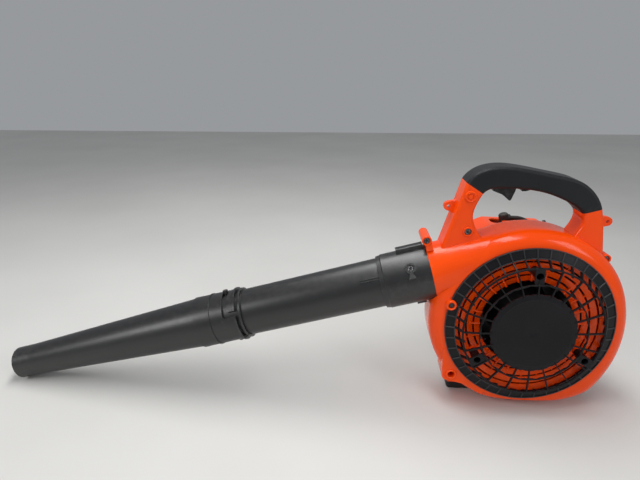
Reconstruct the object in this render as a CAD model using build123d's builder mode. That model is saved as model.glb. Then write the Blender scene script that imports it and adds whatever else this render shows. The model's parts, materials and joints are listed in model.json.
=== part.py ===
from build123d import *
import os
from math import cos, radians, sin, tan

# Hand-held petrol leaf blower, millimetres, +Z up. The origin is on the ground under the middle of the
# bounding box. The fan and the crankshaft turn about one axis along Y; the intake guard faces -Y, the
# engine and its recoil starter lie behind the fan case, and the blowing tube leaves towards -X.

# ---------------------------------------------------------------- driving dimensions
FAN_X = 339.0            # fan axis from the origin
FRONT_Y = -95.0          # front face of the fan case
AXIS_Z = 145.6           # height of the fan axis

CASE_DEPTH = 84.0        # fan case, front face to rear face
SPLIT = CASE_DEPTH / 2   # parting plane of the two case halves
WALL = 3.0
VOLUTE_R = 142.0         # top of the volute, tangent to the top of the duct
EDGE_R = 22.0            # rounding of the volute's long edges
BASE_Z = 19.0            # underside of the fan case
INTAKE_R = 107.0         # mouth of the intake
EYE_R = 68.0             # open middle of the louvres
LOUVRES = 4

DUCT_R = 42.0            # outlet duct at its flange
DUCT_X = -139.5          # centre of the flange from the fan axis
DUCT_Z = 211.2           # and its height
TILT = 15.4              # the tube points this far down
DUCT_LENGTH = 112.0      # flange back to where the duct has become the volute
SLEEVE_R = 41.4
SLEEVE_LENGTH = 75.0
TUBE_R = 37.3            # outside of the blowing tube at the sleeve
TUBE_END_R = 36.3        # and at its bayonet end
TUBE_WALL = 2.2
TUBE_START = 14.0        # distances along the tube are from the flange
TUBE_END = 367.0
COLLAR_START = 299.0     # nozzle collar
COLLAR_END = 370.0
NOZZLE_END = 701.0       # tip of the nozzle
TIP_R = 25.8
KNOB_AT = 316.0          # bayonet knobs
KNOB_R = 4.0
TWIST = 65.0             # bayonet turn

HANDLE_FRONT = 21.0      # handle, behind the front face
HANDLE_BACK = 63.0
HANDLE_ROUND = 5.0
GRIP_SKIN = 4.0          # thickness of the soft grip
HANDLE_WALL = 2.5        # wall of the core under it
TRIGGER_FRONT = 36.0
TRIGGER_BACK = 48.0
TRIGGER_PIVOT = (-56, 355)
TRIGGER_PIN_R = 2.5
SWITCH_AT = (-97, 315)   # stop switch, on the back of the front leg
SWITCH_DEPTH = 58.0      # floor of its pocket
CABLE_R = 2.5            # throttle cable
LEAD_R = 3.5             # ignition lead

GUARD_R = 120.0
GUARD_RIBS = 40
DISC_R = 60.0            # blank middle of the guard
GUARD_POST_R = 86.4      # circle of its three screws
GUARD_POST_TURN = 91.5   # direction of the first
IMPELLER_R = 100.0
BLADES = 22
SHAFT_R = 7.45           # crankshaft journals, 0.05 under their 15 mm bearings
THROW = 14.0             # half of the 28 mm stroke
BORE_R = 17.0            # 34 mm bore: 25.4 cc
CRANK_MID = 138.0        # cylinder axis and crankcase split, behind the front face
PIN_Z = AXIS_Z + THROW + 52.0    # gudgeon pin at top dead centre, on a 52 mm rod
PLUG_LEAN = 15.0         # spark plug, off the vertical
COIL_TURN = 50.0         # direction of the ignition coil from the crankshaft
COIL_FEET = [(26.2, 57.7), (52.2, 35.8)]   # its two screw posts, from the crankshaft
CARB_Z = 200.0           # bore of the carburettor
THROTTLE_X = 52.0        # throttle spindle
PRIMER_AT = (54, 194)
PRIMER_R = 9.7
BASE_X = 72.0            # base plate of the air filter
FILTER_Z = 218.0         # middle of the filter box
CHOKE_AT = (153, 236)    # choke pivot, depth and height
COVER_LEFT, COVER_RIGHT = -66, 60
COVER_FRONT, COVER_BACK = 86, 174
COVER_TOP = 264.0
TANK_TOP = 88.0
TANK_FRONT, TANK_BACK = 90, 176
CAP_AT = (-48, 60)       # fuel filler, on the back of the tank
FUEL_OUTLETS = [(46, 130), (62, 146)]
STARTER_FRONT = 184.0
STARTER_BACK = 212.0
STARTER_R = 62.0
REEL_R = 24.0            # rope path on the reel
ROPE_DEPTH = 193.0
ROPE_R = 1.75
SPIRAL = 0.8             # a quarter of the rewind spring's pitch
SCREW_AT = 28.0          # screw through the sleeve, from the flange
SCREW_TURN = 36.0        # and up from the front

HEAD_R = 4.0             # case screws
THREAD_R = 2.2
EAR_HOLE_R = 2.2
RUNNING = 0.05           # radial clearance of a shaft in its hole
GAP = 0.3                # between pieces that pass each other

SCREWS_HIGH = [(-150.6, 265.6), (-94.2, 280.3), (100.3, 244.6)]   # heads on the case's shoulder
SCREWS_FRONT = [(-113.2, 177.3), (-103.9, 61.3)]                  # sunk in its front face
SCREW_LEG = (-94.7, 330.9)                                        # sunk in the front leg
EARS = [(-121.0, 313.0), (102.5, 294.5)]                          # strap eyes
ENGINE_POSTS = [(58, 145.6), (-58, 145.6), (-33, 98), (33, 98)]
STARTER_POSTS = [(52 * cos(radians(a)), AXIS_Z + 52 * sin(radians(a))) for a in (30, 150, 210, 330)]

os.makedirs("parts", exist_ok=True)


# ---------------------------------------------------------------- frames
def at(x, depth, z):
    """Point from the fan axis, the case's front face and the ground."""
    return Vector(FAN_X + x, FRONT_Y + depth, z)


def face(depth):
    """Sketch plane across the machine: x from the fan axis, y is height. Its normal looks forward."""
    return Plane(origin=at(0, depth, 0), x_dir=(1, 0, 0), z_dir=(0, -1, 0))


def fan_face(depth):
    """The same plane, centred on the fan axis."""
    return Plane(origin=at(0, depth, AXIS_Z), x_dir=(1, 0, 0), z_dir=(0, -1, 0))


def level(z):
    """Level sketch plane: x from the fan axis, y is depth."""
    return Plane(origin=at(0, 0, z), x_dir=(1, 0, 0), z_dir=(0, 0, 1))


def side(x):
    """Sketch plane facing +X: x is depth, y is height."""
    return Plane(origin=at(x, 0, 0), x_dir=(0, 1, 0), z_dir=(1, 0, 0))


FAN_AXIS = Axis(at(0, 0, AXIS_Z), (0, 1, 0))
FAN_PROFILE = Plane(origin=at(0, 0, AXIS_Z), x_dir=(1, 0, 0), z_dir=(0, 0, 1))
TUBE_DIR = Vector(-cos(radians(TILT)), 0, -sin(radians(TILT)))
FLANGE = at(DUCT_X, SPLIT, DUCT_Z)
TUBE_AXIS = Axis(FLANGE, TUBE_DIR)
TUBE_PROFILE = Plane(origin=FLANGE, x_dir=TUBE_DIR, z_dir=(0, -1, 0))


def tube_face(s):
    """Section plane of the tube, s from the flange: x towards the front, y towards the top."""
    return Plane(origin=FLANGE + TUBE_DIR * s, x_dir=(0, -1, 0), z_dir=TUBE_DIR)


def rounds(points, inner, outer, start, end, mode=Mode.ADD):
    """Round posts or holes along Y at each (x, z), between two radii and two depths."""
    with BuildSketch(face(start)) as section:
        with Locations(*points):
            Circle(outer)
            if inner:
                Circle(inner, mode=Mode.SUBTRACT)
    extrude(section.sketch, amount=start - end, mode=mode)


def holes(points, radius, start, end):
    rounds(points, 0, radius, start, end, Mode.SUBTRACT)


def turned(*rings, mode=Mode.ADD):
    """Turned body on the fan axis, from rings of (inner radius, outer radius, depth, depth)."""
    with BuildSketch(FAN_PROFILE) as profile:
        for inner, outer, start, end in rings:
            with Locations(((inner + outer) / 2, (start + end) / 2)):
                Rectangle(outer - inner, end - start)
    revolve(profile.sketch, axis=FAN_AXIS, mode=mode)


def slab(plane, x, y, width, height, thickness, radius=0.0, mode=Mode.ADD):
    """Plate or block centred on (x, y) of a sketch plane, with rounded corners."""
    with BuildSketch(plane) as section:
        with Locations((x, y)):
            if radius:
                RectangleRounded(width, height, radius)
            else:
                Rectangle(width, height)
    extrude(section.sketch, amount=thickness, mode=mode)


def keep(builder, name):
    """Label one finished piece and write it."""
    builder.part.label = name
    export_step(builder.part, f"parts/{name}.step")


# ---------------------------------------------------------------- fan case volume
def volute_outline(inset):
    """Closed outline of the volute round the fan axis, moved in by inset, before its base is cut level."""
    top = CenterArc((0, 0), VOLUTE_R - inset, 20, 70 + TILT)
    rim = CenterArc((0, 0), VOLUTE_R, 20, 70 + TILT, mode=Mode.PRIVATE)
    left_rim = TangentArc(rim @ 1, (-56.5, -127), tangent=rim % 1, mode=Mode.PRIVATE)
    right_rim = TangentArc(rim @ 0, (112, -106), tangent=(rim % 0) * -1, mode=Mode.PRIVATE)
    left_end = left_rim @ 1 + (left_rim % 1).rotate(Axis.Z, 90) * inset
    right_end = right_rim @ 1 + (right_rim % 1).rotate(Axis.Z, -90) * inset
    left = TangentArc(top @ 1, left_end, tangent=top % 1)
    right = TangentArc(top @ 0, right_end, tangent=(top % 0) * -1)
    Spline(left @ 1, right @ 1, tangents=(left % 1, (right % 1) * -1))


def across(edge):
    """True for an edge that doesn't run along Y."""
    return abs(edge.tangent_at(0.5).Y) < 0.01


def case_volume(inset):
    """Volute and duct as one solid, every face moved in by inset."""
    with BuildPart() as volume:
        with BuildSketch(fan_face(inset)):
            with BuildLine():
                volute_outline(inset)
            make_face()
        extrude(amount=-(CASE_DEPTH - 2 * inset))
        fillet(volume.edges().filter_by(across), EDGE_R - inset)
        duct = 2 * (DUCT_R - inset)
        mouth = inset / WALL
        with BuildSketch(tube_face(mouth)):
            RectangleRounded(duct, duct, duct / 2 - 0.1)
        with BuildSketch(tube_face(-DUCT_LENGTH)):
            RectangleRounded(duct - 2.4, duct - 2.4, EDGE_R - inset)
        loft()
        split(bisect_by=level(BASE_Z + inset), keep=Keep.TOP)
    return volume.part


# ---------------------------------------------------------------- handle volume
# closed outlines, clockwise, as runs of points: two points make a line, more make a curve
HANDLE_RUNS = [
    [(86, 315), (91, 294)], [(91, 294), (98, 246)], [(98, 246), (84, 205)], [(84, 205), (-84, 205)],
    [(-84, 205), (-133, 243)], [(-133, 243), (-101, 350)],
    [(-101, 350), (-85, 365.5), (-60, 372.7), (-22, 370), (20, 362), (54, 352.5), (76.5, 333.5), (86, 315)],
]
FINGER_RUNS = [
    [(-77, 334.5), (-68, 341), (-55, 342.5), (-20, 341.5), (10, 336), (36, 326), (53, 316), (60, 309)],
    [(60, 309), (62, 298), (57, 284), (44, 262)],
    [(44, 262), (-64, 262)],
    [(-64, 262), (-82, 284), (-88, 302), (-85, 318), (-77, 334.5)],
]


def area(runs, amount):
    """Area inside a closed outline whose points are all moved outwards by amount."""
    corners = [Vector(*point) for run in runs for point in run[:-1]]
    moved = {}
    for before, here, after in zip(corners[-1:] + corners[:-1], corners, corners[1:] + corners[:1]):
        left = (here - before).normalized().rotate(Axis.Z, 90)
        right = (after - here).normalized().rotate(Axis.Z, 90)
        normal = (left + right).normalized()
        moved[(here.X, here.Y)] = here + normal * (amount / normal.dot(left))
    with BuildSketch() as sketch:
        with BuildLine():
            for run in runs:
                points = [moved[point] for point in run]
                if len(points) == 2:
                    Line(*points)
                else:
                    Spline(*points)
        make_face()
    return sketch.sketch


def handle_volume(inset):
    """Handle bar and legs as one solid, moved in by inset; the inner ones keep sharp edges."""
    depth = HANDLE_BACK - HANDLE_FRONT - 2 * inset
    front = face(HANDLE_FRONT + inset)
    with BuildPart() as bar:
        extrude(front * area(HANDLE_RUNS, -inset), amount=-depth)
        extrude(front * area(FINGER_RUNS, inset), amount=-depth, mode=Mode.SUBTRACT)
        if not inset:
            fillet(bar.edges().filter_by(across), HANDLE_ROUND)
    return bar.part


def grip_zone():
    """Everything on the grip's side of its two seams across the handle."""
    with BuildPart() as zone:
        with BuildSketch(face(0)):
            with BuildLine():
                Polyline(
                    (-149, 381), (-125, 365.5), (-77, 334.5), (-60, 323), (40, 304.4), (60, 309),
                    (112, 323.5), (120, 400), (-149, 400), close=True,
                )
            make_face()
        extrude(amount=-CASE_DEPTH)
    return zone.part


case_solid = case_volume(0)
case_cavity = case_volume(WALL)
handle_solid = handle_volume(0)
handle_core = handle_volume(GRIP_SKIN)
handle_hollow = handle_volume(GRIP_SKIN + HANDLE_WALL)
soft_zone = grip_zone()

# ---------------------------------------------------------------- held cords
# each point is x from the fan axis, depth, height
CABLE_ROUTE = [
    (-24, 42, 356.3), (0, 42, 353), (34, 42, 342), (58, 42, 326), (74, 42, 302),
    (80, 48, 278), (82, 66, 260), (75, 84, 247), (66, 102, 234), (66, 122, 221.5),
]
LEAD_ROUTE = [
    (-3, 138, 270.5), (12, 138, 270.5), (28, 142, 264), (41, 146, 248), (47, 137, 230),
    (46, 112, 222), (44, 99.5, 214), (44, 99.5, 203),
]


def cord(route, radius):
    """Round cord along a route: straight runs joined by arcs as large as the runs allow."""
    points = [at(*p) for p in route]
    runs = [b - a for a, b in zip(points, points[1:])]
    radii = []
    for before, after in zip(runs, runs[1:]):
        half_turn = radians(before.get_angle(after)) / 2
        radii.append(0.45 * min(before.length, after.length) / tan(half_turn))
    with BuildPart() as tube:
        with BuildLine() as path:
            FilletPolyline(*points, radius=radii)
        with BuildSketch(Plane(origin=path.line @ 0, z_dir=path.line % 0)):
            Circle(radius)
        sweep()
    return tube.part


with BuildPart() as throttle_cable:
    add(cord(CABLE_ROUTE, CABLE_R))
keep(throttle_cable, "throttle_cable")

with BuildPart() as ht_lead:
    add(cord(LEAD_ROUTE, LEAD_R))
keep(ht_lead, "ht_lead")

cable_way = cord(CABLE_ROUTE, CABLE_R + GAP)

# ---------------------------------------------------------------- fan case halves
with BuildPart() as leg_part:
    add(handle_solid)
    add(soft_zone, mode=Mode.SUBTRACT)
legs = leg_part.part

with BuildPart() as core_part:
    add(handle_core)
    add(soft_zone, mode=Mode.INTERSECT)
core = core_part.part

with BuildPart() as hollow_part:
    add(handle_hollow)
    add(case_solid, mode=Mode.SUBTRACT)
hollow = hollow_part.part

with BuildPart() as case_shell:
    add(case_solid)
    # base that carries the front feet
    with BuildSketch(face(44)):
        with BuildLine():
            Polyline(
                (-99, BASE_Z), (-104, 44), (-112, 70), (-60, 90), (60, 90), (118, 70), (125, 40),
                (122, BASE_Z), close=True,
            )
        make_face()
    extrude(amount=44 - CASE_DEPTH)
    # front panel, drawn out to its lower left screw
    with BuildSketch(face(0)) as panel:
        with BuildLine():
            Polyline((-119, 104), (-117, 52), (-84, 45), (-56, 28), (-30, 60), (-60, 110), close=True)
        make_face()
        fillet(panel.vertices().sort_by_distance((-117, 52, 0))[0:1], 8)
    extrude(amount=-SPLIT)
    add(legs)
    add(core)
    rounds(SCREWS_HIGH, 0, 7.0, 20, 64)
    with BuildSketch(face(20)):
        with BuildLine():
            Polyline((-153.7, 264.7), (-149.4, 249.3), (-140.3, 251.9), (-144.5, 267.3), close=True)
        make_face()
    extrude(amount=20 - 64)
    rounds([SCREW_LEG], 0, 5.5, HANDLE_FRONT - 1.5, SPLIT)
    rounds(EARS, 0, 6.5, 38, 46)
    with BuildSketch(face(38)):
        with BuildLine():
            Polyline((-122, 319.5), (-104, 323), (-110, 300), (-121, 306.5), close=True)
        make_face()
        with BuildLine():
            Polyline((103.5, 301), (86, 304), (86, 284), (103.5, 288), close=True)
        make_face()
    extrude(amount=-8)
    # the volute's shoulder is relieved where the joint sleeve passes over it
    with BuildSketch(tube_face(0)):
        Circle(SLEEVE_R + 0.4)
    extrude(amount=18, mode=Mode.SUBTRACT)
    add(case_cavity, mode=Mode.SUBTRACT)
    add(hollow, mode=Mode.SUBTRACT)
    # columns for the screws and the trigger's pin stand in the hollows
    rounds(SCREWS_FRONT, 0, 8.0, -1, CASE_DEPTH - WALL)
    rounds([TRIGGER_PIVOT], 0, 4.5, HANDLE_FRONT + GRIP_SKIN, TRIGGER_FRONT - 3)
    rounds([TRIGGER_PIVOT], 0, 4.5, TRIGGER_BACK + 6, HANDLE_BACK - GRIP_SKIN)
    rounds([SCREW_LEG], 0, 4.5, HANDLE_FRONT, HANDLE_BACK - GRIP_SKIN)
    # each screw: room for its head, then its thread
    holes(SCREWS_HIGH, HEAD_R + 0.8, 20, 24)
    holes(SCREWS_HIGH, THREAD_R, 24, 58)
    holes(SCREWS_FRONT, HEAD_R + 1.2, -1, 16)
    holes(SCREWS_FRONT, THREAD_R, 16, 60)
    holes([SCREW_LEG], HEAD_R + 0.2, HANDLE_FRONT - 1.5, 30)
    holes([SCREW_LEG], THREAD_R, 30, 56)
    holes(EARS, EAR_HOLE_R, 38, 46)
    holes([TRIGGER_PIVOT], TRIGGER_PIN_R, HANDLE_FRONT + GRIP_SKIN + 1, HANDLE_BACK - GRIP_SKIN - 1)
    # slot for the trigger in the underside of the handle, and the way out for its cable
    slab(face(TRIGGER_FRONT - 1), -46, 346, 44, 20, TRIGGER_FRONT - TRIGGER_BACK - 2, mode=Mode.SUBTRACT)
    add(cable_way, mode=Mode.SUBTRACT)
shell = case_shell.part

with BuildPart() as fan_case_front:
    add(shell)
    split(bisect_by=face(SPLIT), keep=Keep.TOP)
    with BuildSketch(fan_face(-1)):
        Circle(INTAKE_R)
    extrude(amount=-(WALL + 2), mode=Mode.SUBTRACT)
    # louvres: rings that step inwards, on radial ribs
    with BuildSketch(FAN_PROFILE):
        for i in range(LOUVRES):
            r = INTAKE_R + 1 - i * (INTAKE_R - EYE_R - 6) / (LOUVRES - 1)
            d = 1.0 + 2.8 * i
            with BuildLine():
                Polyline((r, d), (r - 7, d + 2.4), (r - 7, d + 4.8), (r, d + 2.4), close=True)
            make_face()
    revolve(axis=FAN_AXIS)
    with BuildSketch(fan_face(8)):
        with PolarLocations((INTAKE_R + EYE_R) / 2 + 1, 24, start_angle=1.5):
            Rectangle(INTAKE_R - EYE_R + 4, 2.2)
    extrude(amount=-6)
    with BuildSketch(fan_face(2)):
        Circle(INTAKE_R + 2.5)
        Circle(INTAKE_R - 0.5, mode=Mode.SUBTRACT)
    extrude(amount=-12)
    # bosses that take the guard's screws
    with BuildSketch(fan_face(2)):
        with PolarLocations(GUARD_POST_R, 3, start_angle=GUARD_POST_TURN):
            Circle(5.5)
    extrude(amount=-14)
    with BuildSketch(fan_face(2)):
        with PolarLocations(GUARD_POST_R, 3, start_angle=GUARD_POST_TURN):
            Circle(THREAD_R)
    extrude(amount=-10, mode=Mode.SUBTRACT)
keep(fan_case_front, "fan_case_front")

with BuildPart() as fan_case_rear:
    add(shell)
    split(bisect_by=face(SPLIT), keep=Keep.BOTTOM)
    rounds(ENGINE_POSTS, 0, 7.0, CASE_DEPTH - WALL, 107)
    holes(ENGINE_POSTS, THREAD_R, 88, 107)
    with BuildSketch(fan_face(CASE_DEPTH - WALL - 1)):
        Circle(24)
    extrude(amount=-(WALL + 2), mode=Mode.SUBTRACT)
    # pocket for the stop switch in the back of the front leg
    slab(face(SWITCH_DEPTH), SWITCH_AT[0], SWITCH_AT[1], 5.0, 14.0, SWITCH_DEPTH - HANDLE_BACK, mode=Mode.SUBTRACT)
keep(fan_case_rear, "fan_case_rear")

# ---------------------------------------------------------------- handle grip
with BuildPart() as handle_grip:
    add(handle_solid)
    add(soft_zone, mode=Mode.INTERSECT)
    # ridge that keeps the second finger off the trigger
    with BuildSketch(face(HANDLE_FRONT + 6)):
        with BuildLine():
            Polyline((-27, 346), (-24, 338.5), (-19, 338.8), (-4, 343.5), (-4, 346), close=True)
        make_face()
    extrude(amount=HANDLE_FRONT - HANDLE_BACK + 12)
    add(handle_core, mode=Mode.SUBTRACT)
    # opening in front of and round the trigger
    slab(face(TRIGGER_FRONT - 4), -49, 341, 46, 14, TRIGGER_FRONT - TRIGGER_BACK - 8, mode=Mode.SUBTRACT)
keep(handle_grip, "handle_grip")

# ---------------------------------------------------------------- throttle trigger
with BuildPart() as throttle_trigger:
    with BuildSketch(face(TRIGGER_FRONT)) as blade:
        with BuildLine():
            Polyline(
                (-62, 352), (-60, 359), (-54, 360), (-34, 355), (-29, 346), (-30.5, 337), (-36, 321.5),
                (-41, 326), (-48, 331.5), (-61, 336.5), close=True,
            )
        make_face()
        fillet(blade.vertices().sort_by_distance((-36, 321.5, 0))[0:1], 2)
    extrude(amount=TRIGGER_FRONT - TRIGGER_BACK)
    holes([TRIGGER_PIVOT], TRIGGER_PIN_R + RUNNING, TRIGGER_FRONT, TRIGGER_BACK)
keep(throttle_trigger, "throttle_trigger")

with BuildPart() as trigger_pin:
    rounds([TRIGGER_PIVOT], 0, TRIGGER_PIN_R, HANDLE_FRONT + GRIP_SKIN + 1, HANDLE_BACK - GRIP_SKIN - 1)
keep(trigger_pin, "trigger_pin")

with BuildPart() as trigger_spring:
    with BuildLine() as coil:
        Helix(1.3, 3.9, 3.6, center=at(TRIGGER_PIVOT[0], TRIGGER_BACK + 0.9, TRIGGER_PIVOT[1]), direction=(0, 1, 0))
    with BuildSketch(Plane(origin=coil.line @ 0, z_dir=coil.line % 0)):
        Circle(0.5)
    sweep()
keep(trigger_spring, "trigger_spring")

# ---------------------------------------------------------------- intake guard
GUARD_SIDE = [(GUARD_R, 0), (106.8, -4.6), (97.5, -21.7), (73.7, -24), (DISC_R - 3, -24)]
GUARD_BAR = 3.2          # depth of a rib


def guard_rib(inner):
    """Side view of one rib, from the rim in to the given radius."""
    outside = [(r, d) for r, d in GUARD_SIDE if r > inner]
    last = GUARD_SIDE[-1] if inner < DISC_R else (inner, -21.9)
    outside.append(last)
    inside = [(r - GUARD_BAR * 0.7, d + GUARD_BAR) for r, d in outside[:2]]
    inside += [(r - GUARD_BAR, d + GUARD_BAR) for r, d in outside[2:-1]]
    inside.append((last[0], last[1] + GUARD_BAR))
    Polyline(*outside, *reversed(inside), close=True)


with BuildPart() as long_rib:
    with BuildSketch(FAN_PROFILE):
        with BuildLine():
            guard_rib(DISC_R - 3)
        make_face()
    extrude(amount=0.9, both=True)

with BuildPart() as short_rib:
    with BuildSketch(FAN_PROFILE):
        with BuildLine():
            guard_rib(94)
        make_face()
    extrude(amount=0.9, both=True)

with BuildPart() as intake_guard:
    with BuildSketch(FAN_PROFILE):
        with BuildLine():
            Polyline(
                (GUARD_R, 0.5), (GUARD_R, -1.5), (107.6, -5.6), (105.6, -5.6), (105.6, -3.0), (117.5, 0.5),
                close=True,
            )
        make_face()
        with Locations((97.3, -20.6), (73.7, -22.8)):
            RectangleRounded(2.6, 3.2, 0.8)
        with BuildLine():
            Polyline((0, -21.6), (DISC_R - 7, -23.8), (DISC_R, -22.6), (DISC_R, -19.6), (0, -18.6), close=True)
        make_face()
    revolve(axis=FAN_AXIS)
    # the blank disc is scalloped between its ribs
    with BuildSketch(fan_face(-26)):
        with PolarLocations(DISC_R + 6.5, GUARD_RIBS // 2, start_angle=GUARD_POST_TURN + 360 / GUARD_RIBS):
            Circle(7.5)
    extrude(amount=-9, mode=Mode.SUBTRACT)
    turns = [-GUARD_POST_TURN - i * 360 / GUARD_RIBS for i in range(GUARD_RIBS)]
    add([(short_rib if i % 2 else long_rib).part.rotate(FAN_AXIS, turn) for i, turn in enumerate(turns)])
    # screw pads and their tubular posts
    with BuildSketch(fan_face(-22.6)):
        with PolarLocations(GUARD_POST_R, 3, start_angle=GUARD_POST_TURN):
            RectangleRounded(24, 13, 3)
    extrude(amount=-2.6)
    for start, end, radius, mode in (
        (-21, 2, 6.4, Mode.ADD), (-24, -2, 4.9, Mode.SUBTRACT), (-4, 4, THREAD_R, Mode.SUBTRACT),
    ):
        with BuildSketch(fan_face(start)):
            with PolarLocations(GUARD_POST_R, 3, start_angle=GUARD_POST_TURN):
                Circle(radius)
        extrude(amount=start - end, mode=mode)
keep(intake_guard, "intake_guard")

with BuildPart() as guard_screws:
    with BuildSketch(fan_face(-5.2)):
        with PolarLocations(GUARD_POST_R, 3, start_angle=GUARD_POST_TURN):
            Circle(HEAD_R)
    extrude(amount=-3)
    with BuildSketch(fan_face(-2.4)):
        with PolarLocations(GUARD_POST_R, 3, start_angle=GUARD_POST_TURN):
            Circle(THREAD_R)
    extrude(amount=-12.4)
keep(guard_screws, "guard_screws")

with BuildPart() as case_screws:
    rounds(SCREWS_HIGH, 0, HEAD_R, 20.8, 24)
    rounds(SCREWS_HIGH, 0, THREAD_R, 24, 58)
    rounds(SCREWS_FRONT, 0, HEAD_R, 12.8, 16)
    rounds(SCREWS_FRONT, 0, THREAD_R, 16, 60)
    rounds([SCREW_LEG], 0, HEAD_R, 26.8, 30)
    rounds([SCREW_LEG], 0, THREAD_R, 30, 56)
    # cross recess in each head
    for start, points in ((20.8, SCREWS_HIGH), (12.8, SCREWS_FRONT), (26.8, [SCREW_LEG])):
        with BuildSketch(face(start)):
            with Locations(*points):
                Rectangle(4.2, 1.1)
                Rectangle(1.1, 4.2)
        extrude(amount=-1.6, mode=Mode.SUBTRACT)
keep(case_screws, "case_screws")

# ---------------------------------------------------------------- impeller, flywheel and crankshaft
with BuildPart() as impeller:
    turned((8.0, IMPELLER_R, 72, 75), (66, IMPELLER_R, 20, 22.4), (SHAFT_R, 17, 40, 75))
    with BuildSketch(FAN_PROFILE):
        with BuildLine():
            Polyline((16, 44), (50, 72.5), (16, 72.5), close=True)
        make_face()
    revolve(axis=FAN_AXIS)
    # backward curved blades between the two plates
    with BuildSketch(fan_face(21)):
        for i in range(BLADES):
            turn = i * 360 / BLADES
            root = Vector(62, 0).rotate(Axis.Z, turn)
            middle = Vector(79, 4).rotate(Axis.Z, turn)
            tip = Vector(97, 17).rotate(Axis.Z, turn)
            with BuildLine() as curve:
                ThreePointArc(root, middle, tip)
            trace(curve.line, line_width=2.2)
    extrude(amount=-52)
keep(impeller, "impeller")

with BuildPart() as impeller_nut:
    with BuildSketch(fan_face(33)):
        RegularPolygon(11, 6)
        Circle(SHAFT_R, mode=Mode.SUBTRACT)
    extrude(amount=-7)
keep(impeller_nut, "impeller_nut")

with BuildPart() as flywheel:
    turned((SHAFT_R, 15, 75, 105), (15, 40, 97, 104), (38, 46, 88, 104))
    # cooling vanes on the rim's inside, and two magnet poles let into the rim
    with BuildSketch(fan_face(89)):
        with PolarLocations(31, 12):
            Rectangle(15, 2.4)
    extrude(amount=-9)
    with BuildSketch(fan_face(88)):
        with PolarLocations(44.8, 2, start_angle=172, angular_range=16, endpoint=True):
            Rectangle(3.2, 10)
    extrude(amount=-16, mode=Mode.SUBTRACT)
keep(flywheel, "flywheel")

with BuildPart() as flywheel_magnets:
    with BuildSketch(fan_face(88.5)):
        with PolarLocations(44.4, 2, start_angle=172, angular_range=16, endpoint=True):
            Rectangle(2.2, 9.8)
    extrude(amount=-15)
keep(flywheel_magnets, "flywheel_magnets")

with BuildPart() as crankshaft:
    turned((0, SHAFT_R, 31, 124), (0, SHAFT_R, 152, 182))
    with BuildSketch(fan_face(124)):
        Circle(26)
        with Locations((26, 16), (-26, 16)):
            Circle(13, mode=Mode.SUBTRACT)
    extrude(amount=-7)
    with BuildSketch(fan_face(145)):
        Circle(26)
        with Locations((26, 16), (-26, 16)):
            Circle(13, mode=Mode.SUBTRACT)
    extrude(amount=-7)
keep(crankshaft, "crankshaft")

with BuildPart() as starter_cup:
    turned((SHAFT_R, 12, 171, 181), (11, 22, 171, 174), (19, 22, 171, 183))
    with BuildSketch(fan_face(175)):
        with PolarLocations(19, 4):
            Rectangle(3, 7)
    extrude(amount=-9, mode=Mode.SUBTRACT)
keep(starter_cup, "starter_cup")

# ---------------------------------------------------------------- crankcase
with BuildPart() as crankcase_front:
    turned((0, 38, 112, CRANK_MID))
    slab(level(AXIS_Z), 0, 126.5, 52, 23, 184 - AXIS_Z)
    with BuildSketch(fan_face(107)):
        Circle(30)
        for x, z in ENGINE_POSTS:
            with Locations((x, z - AXIS_Z)):
                Circle(8)
        with BuildLine():
            Polyline((58, 8), (-58, 8), (-58, -8), (-36, -54), (36, -54), (58, -8), close=True)
        make_face()
        # arms that carry the ignition coil
        with BuildLine():
            Polyline((0, 20), (23, 62), (30, 58), (38, 40), (52, 40), (56, 33), (30, 0), close=True)
        make_face()
    extrude(amount=-6)
    with BuildSketch(fan_face(101)):
        with Locations(*COIL_FEET):
            Circle(4)
    extrude(amount=-7)
    turned((0, 30, 123, CRANK_MID), (0, 16, 113, 123), (0, 14, 106, 111), (0, 11, 106, 114), mode=Mode.SUBTRACT)
    with BuildSketch(level(AXIS_Z)):
        with Locations((0, CRANK_MID)):
            Circle(20.3)
    extrude(amount=40, mode=Mode.SUBTRACT)
    holes(ENGINE_POSTS, THREAD_R, 106, 114)
    split(bisect_by=face(CRANK_MID), keep=Keep.TOP)
keep(crankcase_front, "crankcase_front")

with BuildPart() as crankcase_rear:
    turned((0, 38, CRANK_MID, 168))
    slab(level(AXIS_Z), 0, 149.5, 52, 23, 184 - AXIS_Z)
    for x, z in STARTER_POSTS:
        with BuildSketch(face(158)):
            with BuildLine():
                Polyline((0, AXIS_Z + 7), (x, z + 5), (x, z - 5), (0, AXIS_Z - 7), close=True)
            make_face()
        extrude(amount=-8)
    rounds(STARTER_POSTS, 0, 6.0, 158, STARTER_FRONT)
    turned((0, 30, CRANK_MID, 153), (0, 16, 153, 163), (0, 14, 165, 170), (0, 11, 162, 170), mode=Mode.SUBTRACT)
    with BuildSketch(level(AXIS_Z)):
        with Locations((0, CRANK_MID)):
            Circle(20.3)
    extrude(amount=40, mode=Mode.SUBTRACT)
    holes(STARTER_POSTS, THREAD_R, 166, STARTER_FRONT)
keep(crankcase_rear, "crankcase_rear")

for name, start in (("bearing_front", 113.5), ("bearing_rear", 153.5)):
    with BuildPart() as bearing:
        turned((SHAFT_R + RUNNING, 16, start, start + 9))
        turned((11, 13, start - 1, start + 0.6), (11, 13, start + 8.4, start + 10), mode=Mode.SUBTRACT)
    keep(bearing, name)

for name, start in (("oil_seal_front", 107), ("oil_seal_rear", 165)):
    with BuildPart() as seal:
        turned((SHAFT_R + RUNNING, 14, start, start + 1.2), (11.5, 14, start, start + 3))
        turned((SHAFT_R + RUNNING, 9, start, start + 3))
    keep(seal, name)

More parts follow.
